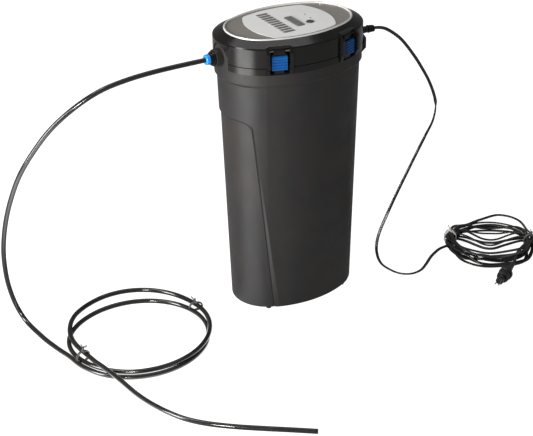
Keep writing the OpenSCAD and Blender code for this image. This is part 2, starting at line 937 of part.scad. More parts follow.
module pump_housing() color("#3a3c40") {
    wall_r = track_r + 2.5;
    difference() {
        translate([pump_x, 0, tub_z + 2])
            union() {
                cylinder(h = 20, r = wall_r);
                translate([-31, -wall_r, 0])
                    cube([31, 2 * wall_r, 20]);
            }
        translate([pump_x, 0, pump_z]) {
            cylinder(h = 20, r = track_r);
            translate([-40, -track_r, 0])
                cube([40, 2 * track_r, 20]);
        }
    }
}

module pump_cover() color("#3a3c40") {
    translate([pump_x, 0, tub_z + 22])
        difference() {
            union() {
                cylinder(h = 4, r = track_r + 2.5);
                translate([-31, -track_r - 2.5, 0])
                    cube([31, 2 * track_r + 5, 4]);
            }
            translate([0, 0, -1])
                cylinder(h = 6, r = 4, $fn = 40);
        }
}

roller_z = pump_z + 3.2;

// Rotor with its shaft and the three roller pins
module rotor() color(white) {
    translate([pump_x, 0, 0]) {
        for (z = [pump_z + 0.5, pump_z + 15.8])
            translate([0, 0, z])
                cylinder(h = 2.4, r = 17.5);
        translate([0, 0, pump_z + 0.5])
            cylinder(h = 17, r = 7);
        translate([0, 0, pump_z + 10])
            cylinder(h = 19, r = 3, $fn = 40);
        for (k = [0:2])
            rotate([0, 0, rotor_turn + 120 * k])
                translate([orbit_r, 0, pump_z + 1])
                    cylinder(h = 16, r = 1.5, $fn = 40);
    }
}

module roller(k) color(steel) {
    translate([pump_x, 0, roller_z])
        rotate([0, 0, rotor_turn + 120 * k])
            translate([orbit_r, 0, 0])
                difference() {
                    cylinder(h = 12.2, r = roller_r);
                    translate([0, 0, -1])
                        cylinder(h = 15, r = 1.55, $fn = 40);
                }
}

// Silicone hose that the rollers squeeze: half a turn and two straight legs
module squeeze_tube() color("lightgray") {
    r = track_r - hose_d / 2;
    z = pump_z + 9.3;
    translate([pump_x, 0, z])
        rotate([0, 0, -90])
            rotate_extrude(angle = 180)
                translate([r, 0])
                    circle(r = hose_d / 2, $fn = 32);
    rod_x(inlet.x + 3, pump_x, hose_d / 2, z, r, 32);
    rod_x(inlet.x, pump_x, hose_d / 2, z, -r, 32);
}

module outlet_hose() color("lightgray") {
    r = track_r - hose_d / 2;
    cable(curve([[inlet.x, -r, pump_z + 9.3], [-66, -22.5, pump_z + 13],
                 [-72, -19, pump_z + 24], [-73, -12, pump_z + 38], [-73, -5, port_z + 11],
                 [-73.5, 0, port_z + 12]], 4), hose_d);
}

// Spigot through the floor of the tub into the pouch's cap
module inlet_nipple() color(white) {
    translate([inlet.x, inlet.y, 0]) {
        translate([0, 0, 281])
            cylinder(h = pump_z + 12 - 281, r = 3);
        translate([0, 0, tub_z + 2])
            cylinder(h = 2, r = 4.6);
    }
}

module outlet_elbow() color(white) {
    translate([-87, 0, port_z])
        cylinder(h = 12, r = 2.8, $fn = 48);
    translate([-87, 0, port_z + 12])
        sphere(r = 2.8, $fn = 48);
    rod_x(-87, -73.5, 2.8, port_z + 12, 0, 48);
    span([-82, -5, skirt_z], [-79.8, 5, port_z + 15]);
}

module power_pins() color("goldenrod") {
    for (y = [-3, 3])
        translate([87.5, y, lead_z - 1])
            cylinder(h = 16, r = 1.1, $fn = 32);
    span([79.8, -6, skirt_z + 6.5], [90.5, 6, skirt_z + 12]);
    span([79.8, -6, skirt_z], [82, 6, skirt_z + 7]);
}

module latch_pins() color(steel) {
    for (i = [0:3])
        at_latch(i)
            translate([-pocket_w / 2 - 1.6, pivot_v, pivot_z])
                rotate([0, 90, 0])
                    cylinder(h = pocket_w + 3.2, r = latch_pin_r, $fn = 40);
}

// Black arm of a latch: hinge barrel, plate and nose
module latch_arm(i) color(gloss) {
    half = latch_w / 2;
    at_latch(i)
        difference() {
            union() {
                translate([-half + 2.4, pivot_v, pivot_z])
                    rotate([0, 90, 0])
                        cylinder(h = latch_w - 4.8, r = 3.2, $fn = 48);
                span([-half, 2, rim_z + 6.5], [half, 5, pivot_z - 3.6]);
                span([-half + 2.4, 2, pivot_z - 4], [half - 2.4, 5, pivot_z]);
                span([-6, 2, rim_z + 1.5], [6, 4.2, rim_z + 7]);
                span([-6, 2, rim_z + 1.5], [6, hook_v, rim_z + 4.6]);
            }
            translate([-half - 1, pivot_v, pivot_z])
                rotate([0, 90, 0])
                    cylinder(h = latch_w + 2, r = latch_pin_r + 0.05, $fn = 40);
        }
}

// Blue ribbed grip on the arm
module latch_grip(i) color(blue) {
    half = latch_w / 2;
    low = rim_z + 7;
    high = pivot_z - 5.4;
    pitch = (high - low) / latch_ribs;
    at_latch(i) {
        span([-half, -0.8, low], [half, 2, high]);
        for (k = [0:latch_ribs - 1])
            span([-half, -1.7, low + pitch * k + 0.3],
                 [half, -0.7, low + pitch * k + 0.3 + pitch * 0.6]);
    }
}

canister_shell();
latch_keepers();
feet();
rim_gasket();
port_body();
port_nut();
port_oring();
grab_ring();
dock_socket();
collet();
pouch();
pouch_spout();
pouch_cap();
cord_gland();
cord_boot();
power_socket();
power_cord();
cord_coil();
cord_ties();
plug_body();
plug_ring();
plug_pins();
tube_run();
tube_coil();
tube_tail();
tube_ties();
head_cover();
head_base();
trim_ring();
fascia();
overlay();
level_bars();
indicator_lenses();
dose_rocker();
power_button();
circuit_board();
switches();
leds();
cover_screws();
gear_motor();
pump_housing();
pump_cover();
rotor();
roller(0);  // roller_1
roller(1);  // roller_2
roller(2);  // roller_3
squeeze_tube();
outlet_hose();
inlet_nipple();
outlet_elbow();
power_pins();
latch_pins();
latch_arm(0);  // latch_arm_front_left
latch_arm(1);  // latch_arm_front_right
latch_arm(2);  // latch_arm_back_left
latch_arm(3);  // latch_arm_back_right
latch_grip(0);  // latch_grip_front_left
latch_grip(1);  // latch_grip_front_right
latch_grip(2);  // latch_grip_back_left
latch_grip(3);  // latch_grip_back_right
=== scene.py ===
"""Looks of the pond dosing canister. Lengths in the lists below are millimetres in the
frame of the CAD model; everything handed to Blender is in metres."""
import json
import math

import bpy
import numpy as np
from mathutils import Matrix, Vector


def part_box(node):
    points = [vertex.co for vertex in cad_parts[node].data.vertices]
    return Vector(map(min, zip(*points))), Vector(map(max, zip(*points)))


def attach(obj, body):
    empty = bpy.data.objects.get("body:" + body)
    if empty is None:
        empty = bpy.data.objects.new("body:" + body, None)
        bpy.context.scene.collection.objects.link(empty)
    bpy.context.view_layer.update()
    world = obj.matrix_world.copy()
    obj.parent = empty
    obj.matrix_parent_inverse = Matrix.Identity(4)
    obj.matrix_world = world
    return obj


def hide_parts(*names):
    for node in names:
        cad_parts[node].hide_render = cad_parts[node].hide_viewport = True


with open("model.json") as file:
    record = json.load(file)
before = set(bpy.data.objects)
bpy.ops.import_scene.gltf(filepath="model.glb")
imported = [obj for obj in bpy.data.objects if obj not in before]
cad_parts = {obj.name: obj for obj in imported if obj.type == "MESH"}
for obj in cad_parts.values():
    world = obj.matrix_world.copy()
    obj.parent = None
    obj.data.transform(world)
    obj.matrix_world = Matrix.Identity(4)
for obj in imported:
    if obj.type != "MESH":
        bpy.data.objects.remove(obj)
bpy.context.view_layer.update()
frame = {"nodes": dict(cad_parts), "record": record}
nodes = frame["nodes"]
MM = 0.001
scene = bpy.context.scene
scene.view_settings.view_transform = "Standard"


# ---------------------------------------------------------------- camera
def camera():
    data = bpy.data.cameras.new("camera")
    data.lens, data.sensor_width = 87.7, 36
    data.clip_start, data.clip_end = 0.05, 30
    forward = Vector((0.4278, 0.7626, -0.4853)).normalized()
    right = forward.cross(Vector((0.253, 0.4144, 0.8742))).normalized()
    up = right.cross(forward)
    turn = Matrix((right, up, -forward)).transposed().to_4x4()
    obj = bpy.data.objects.new("camera", data)
    obj.matrix_world = Matrix.Translation((-0.7934, -1.3484, 0.9721)) @ turn
    scene.collection.objects.link(obj)
    scene.camera = obj


# ---------------------------------------------------------------- node helpers
class Graph:
    """A node tree with a short way to add and join nodes."""

    def __init__(self, tree):
        self.tree = tree

    def add(self, kind, inputs=(), **settings):
        node = self.tree.nodes.new("ShaderNode" + kind)
        for key, value in settings.items():
            setattr(node, key, value)
        for key, value in dict(inputs).items():
            self.put(node.inputs[key], value)
        return node

    def put(self, socket, value):
        if isinstance(value, bpy.types.NodeSocket):
            self.tree.links.new(value, socket)
        else:
            socket.default_value = value


def rgba(colour):
    return (*colour, 1.0)


def shaded(colour, factor):
    return tuple(min(1.0, c * factor) for c in colour)


def plastic(name, colour, rough, mottle=0.12, mottle_scale=30.0, tint=None, rough_vary=0.05,
            grain=0.0, grain_scale=1400.0, stretch=(1, 1, 1), metallic=0.0, coat=0.0,
            specular=0.5, dust=0.0, transmission=0.0, ior=1.5, coat_rough=0.08):
    """Moulded plastic, rubber or metal: uneven colour, uneven gloss and a fine surface grain."""
    made = bpy.data.materials.new(name)
    made.use_nodes = True
    g = Graph(made.node_tree)
    shader = made.node_tree.nodes["Principled BSDF"]
    place = g.add("TexCoord").outputs["Object"]
    place = g.add("Mapping", {"Vector": place, "Scale": stretch}).outputs["Vector"]
    broad = g.add("TexNoise", {"Vector": place, "Scale": mottle_scale, "Detail": 4.0,
                               "Roughness": 0.6})
    other = tint or shaded(colour, 1 + mottle)
    mix = g.add("Mix", data_type="RGBA")
    ramp = g.add("MapRange", {"Value": broad.outputs["Fac"], "From Min": 0.32,
                              "From Max": 0.68})
    g.put(mix.inputs[0], ramp.outputs["Result"])
    g.put(mix.inputs[6], rgba(shaded(colour, 1 - mottle)))
    g.put(mix.inputs[7], rgba(other))
    final = mix.outputs[2]
    if dust:
        # A little pale dust on what faces up
        up = g.add("NewGeometry").outputs["Normal"]
        z = g.add("SeparateXYZ", {"Vector": up}).outputs["Z"]
        specks = g.add("TexNoise", {"Vector": place, "Scale": 420.0, "Detail": 3.0})
        much = g.add("MapRange", {"Value": specks.outputs["Fac"], "From Min": 0.62,
                                  "From Max": 0.8, "To Max": dust})
        amount = g.add("Math", {0: much.outputs["Result"], 1: z}, operation="MULTIPLY",
                       use_clamp=True)
        over = g.add("Mix", data_type="RGBA")
        g.put(over.inputs[0], amount.outputs[0])
        g.put(over.inputs[6], final)
        g.put(over.inputs[7], (0.5, 0.49, 0.47, 1))
        final = over.outputs[2]
    g.put(shader.inputs["Base Color"], final)
    patches = g.add("TexNoise", {"Vector": place, "Scale": mottle_scale * 2.3,
                                 "Detail": 5.0})
    spread = g.add("MapRange", {"Value": patches.outputs["Fac"], "From Min": 0.3,
                                "From Max": 0.7, "To Min": max(0.02, rough - rough_vary),
                                "To Max": min(1.0, rough + rough_vary)})
    g.put(shader.inputs["Roughness"], spread.outputs["Result"])
    if grain:
        fine = g.add("TexNoise", {"Vector": place, "Scale": grain_scale, "Detail": 3.0,
                                  "Roughness": 0.65})
        bump = g.add("Bump", {"Height": fine.outputs["Fac"], "Strength": grain,
                              "Distance": 0.0004})
        g.put(shader.inputs["Normal"], bump.outputs["Normal"])
    shader.inputs["Metallic"].default_value = metallic
    shader.inputs["Specular IOR Level"].default_value = specular
    shader.inputs["Coat Weight"].default_value = coat
    shader.inputs["Coat Roughness"].default_value = coat_rough
    shader.inputs["Transmission Weight"].default_value = transmission
    shader.inputs["IOR"].default_value = ior
    return made


def materials():
    m = {}
    m["canister"] = plastic("canister_matte", (0.0125, 0.0128, 0.0150), 0.46, mottle=0.15,
                            mottle_scale=16, tint=(0.0170, 0.0145, 0.0130), rough_vary=0.06,
                            grain=0.30, grain_scale=1500, specular=0.38)
    m["head"] = plastic("head_gloss", (0.0042, 0.0038, 0.0036), 0.17, mottle=0.12,
                        mottle_scale=40, rough_vary=0.05, grain=0.05, grain_scale=260,
                        specular=0.4, dust=0.02)
    m["rubber"] = plastic("rubber", (0.016, 0.016, 0.017), 0.55, grain=0.35,
                          grain_scale=900, rough_vary=0.08)
    m["grip"] = plastic("grip_blue", (0.003, 0.062, 0.23), 0.36, mottle=0.10, specular=0.25,
                        mottle_scale=90, grain=0.12, grain_scale=900)
    m["collet"] = plastic("collet_blue", (0.012, 0.22, 0.70), 0.28, mottle=0.08,
                          mottle_scale=120, grain=0.06, grain_scale=800)
    m["trim"] = plastic("trim_silver", (0.74, 0.74, 0.73), 0.22, mottle=0.03,
                        mottle_scale=50, metallic=0.35, grain=0.04, grain_scale=900,
                        specular=0.6)
    m["fascia"] = plastic("fascia_grey", (0.185, 0.172, 0.158), 0.50, mottle=0.06,
                          mottle_scale=60, grain=0.35, grain_scale=2400, specular=0.35)
    m["overlay"] = plastic("overlay_film", (0.64, 0.645, 0.64), 0.46, mottle=0.025,
                           mottle_scale=40, grain=0.10, grain_scale=3000, specular=0.35)
    m["bars"] = plastic("bar_print", (0.125, 0.118, 0.112), 0.42, mottle=0.06,
                        mottle_scale=150, grain=0.1, grain_scale=3000)
    m["key"] = plastic("key_grey", (0.135, 0.135, 0.13), 0.36, mottle=0.08,
                       mottle_scale=120, grain=0.12, grain_scale=2000)
    m["power"] = plastic("power_dark", (0.045, 0.045, 0.047), 0.3, mottle=0.08,
                         mottle_scale=150, grain=0.08, grain_scale=2000)
    m["lens"] = plastic("lens_clear", (0.55, 0.55, 0.56), 0.12, mottle=0.04,
                        mottle_scale=300, coat=0.5, transmission=0.3)
    m["steel"] = plastic("steel_brushed", (0.34, 0.335, 0.33), 0.34, mottle=0.06,
                         mottle_scale=120, stretch=(1, 1, 12), metallic=1.0, grain=0.12,
                         grain_scale=500)
    m["brass"] = plastic("brass", (0.74, 0.55, 0.22), 0.25, mottle=0.06, mottle_scale=150,
                         metallic=1.0, grain=0.05)
    m["board"] = plastic("board_green", (0.012, 0.12, 0.035), 0.35, mottle=0.25,
                         mottle_scale=260, coat=0.4, grain=0.2, grain_scale=700)
    m["led"] = plastic("led_body", (0.35, 0.6, 0.28), 0.15, mottle=0.05, coat=0.5,
                       mottle_scale=300, transmission=0.4)
    m["inner"] = plastic("inner_dark", (0.03, 0.03, 0.033), 0.5, mottle=0.1,
                         mottle_scale=80, grain=0.2, grain_scale=1200)
    m["white"] = plastic("inner_white", (0.68, 0.68, 0.66), 0.42, mottle=0.04,
                         mottle_scale=60, grain=0.12, grain_scale=900)
    m["silicone"] = plastic("silicone", (0.6, 0.58, 0.53), 0.35, mottle=0.06,
                            mottle_scale=80, transmission=0.25, ior=1.41, grain=0.05)
    m["film"] = plastic("pouch_film", (0.50, 0.56, 0.60), 0.2, mottle=0.10,
                        mottle_scale=14, coat=0.6, grain=0.35, grain_scale=55,
                        transmission=0.12, rough_vary=0.08)
    m["tube"] = plastic("tube_vinyl", (0.010, 0.0095, 0.0095), 0.14, mottle=0.15,
                        mottle_scale=30, rough_vary=0.05, grain=0.03, grain_scale=300,
                        dust=0.03)
    m["lead"] = plastic("lead_vinyl", (0.011, 0.0105, 0.0105), 0.26, mottle=0.15,
                        mottle_scale=40, rough_vary=0.07, grain=0.08, grain_scale=500,
                        dust=0.04)
    m["tie"] = plastic("tie_grey", (0.055, 0.05, 0.05), 0.45, mottle=0.25,
                       mottle_scale=250, grain=0.5, grain_scale=900)
    m["pale_tie"] = plastic("tie_pale", (0.60, 0.57, 0.54), 0.3, mottle=0.15,
                            mottle_scale=250, grain=0.4, grain_scale=900)
    return m


# ---------------------------------------------------------------- shape helpers
def to_mesh(name, verts, faces, material, smooth=True):
    data = bpy.data.meshes.new(name)
    data.from_pydata([tuple(v) for v in verts], [], [tuple(f) for f in faces])
    data.update()
    data.materials.append(material)
    if smooth:
        data.shade_smooth()
    obj = bpy.data.objects.new(name, data)
    scene.collection.objects.link(obj)
    return obj


def spline(points, n):
    """A smooth curve through the points, n steps to each stretch."""
    p = [np.array(q, float) for q in points]
    out = []
    for i in range(len(p) - 1):
        a, b, c, d = p[max(i - 1, 0)], p[i], p[i + 1], p[min(i + 2, len(p) - 1)]
        for k in range(n):
            t = k / n
            out.append(0.5 * (2 * b + (c - a) * t + (2 * a - 5 * b + 4 * c - d) * t * t
                              + (3 * b - a - 3 * c + d) * t ** 3))
    out.append(p[-1])
    return np.array(out)


def resampled(path, step):
    """The path as points an even step apart."""
    run = np.concatenate([[0], np.cumsum(np.linalg.norm(np.diff(path, axis=0), axis=1))])
    count = max(2, int(round(run[-1] / step)) + 1)
    at = np.linspace(0, run[-1], count)
    return np.stack([np.interp(at, run, path[:, k]) for k in range(3)], axis=1)


def blurred(values, width):
    """Moving average whose ends keep their value."""
    kernel = np.hanning(2 * width + 3)[1:-1]
    kernel /= kernel.sum()
    padded = np.concatenate([np.full(width, values[0]), values, np.full(width, values[-1])])
    return np.convolve(padded, kernel, "valid")


FLOOR_HEIGHT = 26
LIFT_PASSES = 14
LIFT_SLOPE = 0.06


def settled(path, rise, reach, step, low, apart, soften, tail_free=0):
    """Lifts each stretch over the earlier ones it crosses, like a line laid down in order.
    Only what starts below FLOOR_HEIGHT takes part, and the rise eases off by LIFT_SLOPE."""
    path = path.copy()
    base = np.maximum(path[:, 2], low)
    gap = int(apart / step)
    flat = path[:, :2]
    squared = ((flat[:, None, :] - flat[None, :, :]) ** 2).sum(2)
    index = np.arange(len(path))
    near = (squared < reach ** 2) & (index[None, :] < index[:, None] - gap)
    lift = rise * np.sqrt(np.clip(1 - squared / reach ** 2, 0, 1))
    on_floor = base < FLOOR_HEIGHT
    near &= on_floor[:, None] & on_floor[None, :]
    z = base.copy()
    for _ in range(LIFT_PASSES):
        need = np.where(near, z[None, :] + lift, low).max(1) - base
        need = np.maximum(need, 0)
        wide = need.copy()
        for k in range(1, soften):
            eased = LIFT_SLOPE * k * step
            wide[k:] = np.maximum(wide[k:], need[:-k] - eased)
            wide[:-k] = np.maximum(wide[:-k], need[k:] - eased)
        z = base + blurred(wide, soften)
    if tail_free:
        z[-tail_free:] = np.linspace(z[-tail_free], path[-1, 2], tail_free)
    path[:, 2] = blurred(z, 3)
    return path


BORE_DEPTH = 7


def swept(name, path, section, twist, material, bore=0.0):
    """A mesh along the path (mm). section lists (side, up) offsets, twist is in radians, and
    bore is the share of the section that is open at the far end."""
    path = np.array(path, float)
    tangent = np.gradient(path, axis=0)
    tangent /= np.linalg.norm(tangent, axis=1)[:, None]
    side = np.cross(tangent, [0, 0, 1.0])
    side /= np.maximum(np.linalg.norm(side, axis=1)[:, None], 1e-6)
    above = np.cross(side, tangent)
    section = np.array(section, float)
    verts, faces = [], []
    m = len(section)
    for i, p in enumerate(path):
        c, s = math.cos(twist[i]), math.sin(twist[i])
        u, v = side[i] * c + above[i] * s, -side[i] * s + above[i] * c
        verts.extend((p + u * a + v * b) * MM for a, b in section)
    for i in range(len(path) - 1):
        for k in range(m):
            n = (k + 1) % m
            faces.append((i * m + k, i * m + n, (i + 1) * m + n, (i + 1) * m + k))
    if bore:
        # Cut end: the wall's edge, then the bore going a little way in
        last = (len(path) - 1) * m
        rings = [(path[-1], bore), (path[-1] - tangent[-1] * BORE_DEPTH, bore)]
        for centre, share in rings:
            start = len(verts)
            verts.extend((centre + side[-1] * a * share + above[-1] * b * share) * MM
                         for a, b in section)
            for k in range(m):
                n = (k + 1) % m
                faces.append((last + k, last + n, start + n, start + k))
            last = start
        faces.append([last + k for k in range(m)])
        faces.append([m - 1 - k for k in range(m)])
    else:
        faces.append([m - 1 - k for k in range(m)])
        faces.append([(len(path) - 1) * m + k for k in range(m)])
    return to_mesh(name, verts, faces, material)


def round_section(r, n=20):
    return [(r * math.cos(2 * math.pi * k / n), r * math.sin(2 * math.pi * k / n))
            for k in range(n)]


# ---------------------------------------------------------------- dosing tube
TUBE_R = 3.175
TUBE_STEP = 3
LOOP_POINTS, LOOP_START, LOOP_ANGLE = 30, 196, 24
TUBE_ROUTE = [
    (-119.5, 0, 362.3), (-130, 0, 362.3), (-160, 1, 362), (-194, 4, 360), (-227, 9, 355),
    (-258, 15, 346), (-288, 24, 328), (-316, 36, 302), (-337, 48, 272), (-355, 58, 240),
    (-367, 68, 205), (-375, 78, 168), (-379, 88, 128), (-378, 97, 92), (-374, 104, 58),
    (-368, 103, 28), (-362, 90, 9), (-357, 66, 3.2), (-353, 38, 3.2), (-347, 10, 3.2),
    (-341, -13, 3.2),
]
TUBE_TAIL = [
    (-320, -44, 3.2), (-318, -55, 3.2), (-315, -68, 3.2), (-312, -82, 3.2),
    (-307, -106, 3.2), (-301, -132, 3.2), (-293, -158, 3.2), (-283, -184, 3.2),
    (-270, -208, 3.2), (-252, -229, 3.2), (-228, -250, 3.2), (-200, -271, 3.2),
    (-172, -291, 3.2), (-146, -310, 3.2),
]


def tube_path():
    """The route with two loose turns in it. The second turn drifts off the first."""
    turns = []
    for k in range(LOOP_POINTS):
        angle = LOOP_START + LOOP_ANGLE * k
        share = min(1, max(0, (angle - 470) / 160))
        share = share * share * (3 - 2 * share)
        cx, cy = -245 + 10 * share, -20 + 17 * share
        a, b = 93 - 1.5 * share, 88 + 12 * share
        turns.append((cx + a * math.cos(math.radians(angle)),
                      cy + b * math.sin(math.radians(angle)), 3.2))
    path = resampled(spline(TUBE_ROUTE + turns + TUBE_TAIL, 8), TUBE_STEP)
    over = 2 * TUBE_R + 0.2
    return settled(path, over, over, TUBE_STEP, TUBE_R, 40, 14)


def ring_tie(name, centre, heading, half, turns, material, pitch=2.2, ears=9.0, thick=1.0):
    """A wire tie wound round a bundle and twisted on top. heading is the bundle's direction
    in degrees, and half the bundle's half width and half height in millimetres."""
    along = np.array([math.cos(math.radians(heading)), math.sin(math.radians(heading)), 0])
    across = np.array([-along[1], along[0], 0])
    up = np.array([0, 0, 1.0])
    centre = np.array(centre, float)
    a, b = half[0] + thick, half[1] + thick
    path = []
    lean = 0.9
    around = 24
    for k in range(int(turns * around) + 1):
        t = 2 * math.pi * k / around + math.pi / 2
        shift = pitch * (k / around - turns / 2)
        place = centre + along * shift + across * a * math.cos(t) + up * b * math.sin(t)
        # Pressed flat where the bundle lies on it
        place[2] = max(place[2], 1.05 * thick)
        path.append(place)
    top = centre + up * (b + 0.4)
    ends = []
    for s in (-1, 1):
        twist = []
        for k in range(9):
            h = ears * k / 8
            # Twisted up to the sixth step, then the ends spread
            w = thick * (1.0 if k < 6 else 1.0 + 1.1 * (k - 5))
            t = s * math.pi / 2 + 1.5 * min(k, 6)
            twist.append(top + up * h * lean + across * (w * math.cos(t) + 0.35 * h)
                         + along * w * math.sin(t))
        ends.append(twist)
    whole = ends[0][::-1] + path + ends[1]
    smooth = spline(whole, 4)
    section = [(0.62 * thick * math.cos(2 * math.pi * k / 10),
                thick * math.sin(2 * math.pi * k / 10)) for k in range(10)]
    return swept(name, smooth, section, np.zeros(len(smooth)), material)


# ---------------------------------------------------------------- power lead
LEAD_W, LEAD_T = 4.6, 2.5
LEAD_STEP = 2.5
LEAD_ROUTE = [
    (119.5, 0, 354.5), (123, 0, 354.5), (134, 1, 353.6), (150, 4, 349), (166, 7, 339),
    (184, 10, 324), (203, 13, 302), (220, 12, 277), (238, 12, 246), (248, 10, 215),
    (242, 6, 191), (228, 2, 174), (215, 3, 150), (199, 3, 122), (182, 3, 92),
    (164, 1, 62), (149, -1, 34), (142, -6, 14), (138, -20, 2), (136, -40, 2),
    (142, -62, 2), (156, -73, 2), (174, -72, 2), (191, -62, 2), (206, -51, 2),
    (220, -43, 2), (235, -37, 2),
]
COIL = (306, -68)
# Angle in degrees from +X and outer radius of the coil, clockwise from the pale tie
COIL_EDGE = [(143, 64), (123, 62), (103, 63), (86, 64), (67, 67), (45, 68), (20, 66), (-8, 59),
             (-32, 56), (-65, 61), (-85, 66), (-112, 64), (-142, 69), (-168, 70),
             (-193, 67), (-205, 66), (-217, 64)]
# Per turn: share of the rim on the far side, on the near side, in the fan at the left, and
# the turn's place across the tied bundle in millimetres
COIL_TURNS = [(0.95, 0.99, 1.04, -4.8), (-0.22, 0.60, 0.90, 0.2), (0.78, 0.86, 0.70, 4.9),
              (0.06, 0.74, 1.12, -2.4), (0.62, 0.55, 0.80, 2.6), (0.86, 0.92, 0.60, -4.9),
              (-0.08, 0.67, 0.98, 0.0), (1.02, 0.97, 0.76, 4.9), (0.50, 0.80, 0.88, -2.3),
              (0.12, 0.62, 0.66, 2.4), (0.70, 0.88, 0.94, -3.4), (1.42, 0.71, 0.84, 0.6)]
LEAD_END = [(349, -111, 8), (334, -112, 10), (318, -117, 10.8), (303, -125, 10.2),
            (292.2, -134.9, 9.9), (289.2, -136.6, 9.9)]


def coil_points():
    """The turns of the tied coil, each between the rims with shares and a place of its own."""
    points = []
    middle = np.array(COIL, float)

    def rim(angle, radius):
        a = math.radians(angle)
        return middle + radius * np.array([math.cos(a), math.sin(a)])

    left, right = rim(*COIL_EDGE[0]), rim(*COIL_EDGE[8])
    for turn, (far, near, fan, place) in enumerate(COIL_TURNS):
        last = turn == len(COIL_TURNS) - 1
        for angle, radius in COIL_EDGE[:-1]:
            if last and angle < -25:
                break
            if angle > -32:
                span = (143 - angle) / 175
                across = left + (right - left) * span
                # The widest loop leans to the right
                lean = 1.12 * math.exp(-((angle - 27) / 36) ** 2)
                share = far if far < 1.2 else 1 + 1.3 * (far - 1) * lean
            else:
                span = (-32 - angle) / 185
                across = right + (left - right) * span
                toward = math.exp(-((angle + 188) / 32) ** 2)
                share = near + (fan - near) * toward
            bulge = math.sin(math.pi * min(1, max(0, span))) ** 0.8
            share = 1 - (1 - share) * bulge
            slip = place * (1 - 0.45 * bulge) + 1.2 * math.sin(3.1 * turn + angle / 23) * bulge
            edge = rim(angle, radius + slip - 2)
            p = across + (edge - across) * share
            points.append((p[0], p[1], 1.3))
    return points


def lead_path():
    ends = len(LEAD_END)
    path = spline(LEAD_ROUTE + coil_points() + LEAD_END, 8)
    path = resampled(path, LEAD_STEP)
    return settled(path, LEAD_T, LEAD_W * 0.9, LEAD_STEP, LEAD_T / 2, 30, 9,
                   tail_free=4 * ends)


def lead_section():
    """Two cores side by side: an oval with a waist."""
    out = []
    for k in range(24):
        a = 2 * math.pi * k / 24
        waist = 1 - 0.34 * math.exp(-((math.cos(a) / 0.3) ** 2))
        out.append((LEAD_W / 2 * math.cos(a), LEAD_T / 2 * math.sin(a) * waist))
    return out


def bundle_tie(name, path, near, heading, material, turns):
    """A tie drawn tight round every strand of the path that passes the point near."""
    along = np.array([math.cos(math.radians(heading)), math.sin(math.radians(heading))])
    off = path[:, :2] - np.array(near, float)
    across = np.array([-along[1], along[0]])
    here = (np.abs(off @ along) < 3) & (np.linalg.norm(off, axis=1) < 12)
    side = off[here] @ across
    z = path[here][:, 2]
    middle = np.array(near, float) + across * (side.max() + side.min()) / 2
    half = (side.max() - side.min()) / 2 + LEAD_W / 2
    tall = (z.max() + LEAD_T / 2) / 2
    centre = (middle[0], middle[1], tall + 0.3)
    return ring_tie(name, centre, heading, (half, tall), turns, material, ears=7)


def strain_relief(material):
    """Ribbed sleeve that carries on from the boot, round the lead."""
    start, pitch, ribs, core, end = 119.4, 3.7, 3, 2.6, 131.2
    profile = []
    for k in range(ribs):
        x, r = start + pitch * k, 5.3 - 0.3 * k
        profile += [(x, core), (x + 2, core), (x + 2.1, r), (x + 3.6, r - 0.1),
                    (x + pitch, core)]
    profile += [(end, core), (end, 2.45)]
    verts, faces, n = [], [], 40
    for x, r in profile:
        for k in range(n):
            a = 2 * math.pi * k / n
            verts.append((x * MM, r * math.cos(a) * MM,
                          (354.5 - 0.005 * (x - 119) ** 2 + r * math.sin(a)) * MM))
    for i in range(len(profile) - 1):
        for k in range(n):
            m = (k + 1) % n
            faces.append((i * n + k, i * n + m, (i + 1) * n + m, (i + 1) * n + k))
    faces.append([n - 1 - k for k in range(n)])
    faces.append([(len(profile) - 1) * n + k for k in range(n)])
    return to_mesh("strain_relief", verts, faces, material, smooth=False)


def dosing_tube(m):
    path = tube_path()
    tube = swept("dosing_tube", path, round_section(TUBE_R), np.zeros(len(path)),
                 m["tube"], bore=0.62)
    tie_1 = ring_tie("tube_tie_front", (-328, -29, 7.6), -72, (8.6, 7.0), 2, m["tie"])
    tie_2 = ring_tie("tube_tie_back", (-148, 4, 6.0), 84, (8.0, 5.6), 2, m["tie"])
    for obj, node_names in ((tube, ("tube_run", "tube_coil", "tube_tail")),
                            (tie_1, ("tube_ties",)), (tie_2, ())):
        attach(obj, "canister")
        if node_names:
            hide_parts(*node_names)


def power_lead(m):
    path = lead_path()
    # The hanging stretch is turned edge on and wavers, and the rest lies nearly flat
    high = np.clip((path[:, 2] - 20) / 60, 0, 1)
    run = np.arange(len(path)) * LEAD_STEP
    twist = high * (1.3 + 0.3 * np.sin(run / 95)) + (1 - high) * 0.3 * np.sin(run / 60)
    lead = swept("power_lead", path, lead_section(), twist, m["lead"])
    tie_3 = bundle_tie("lead_tie_pale", path, (255, -30), 53, m["pale_tie"], 3)
    tie_4 = bundle_tie("lead_tie_dark", path, (352, -100), -122, m["tie"], 2)
    sleeve = strain_relief(m["rubber"])
    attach(sleeve, "canister")
    for obj in (lead, tie_3, tie_4):
        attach(obj, "canister")
    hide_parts("power_cord", "cord_coil")
    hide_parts("cord_ties")


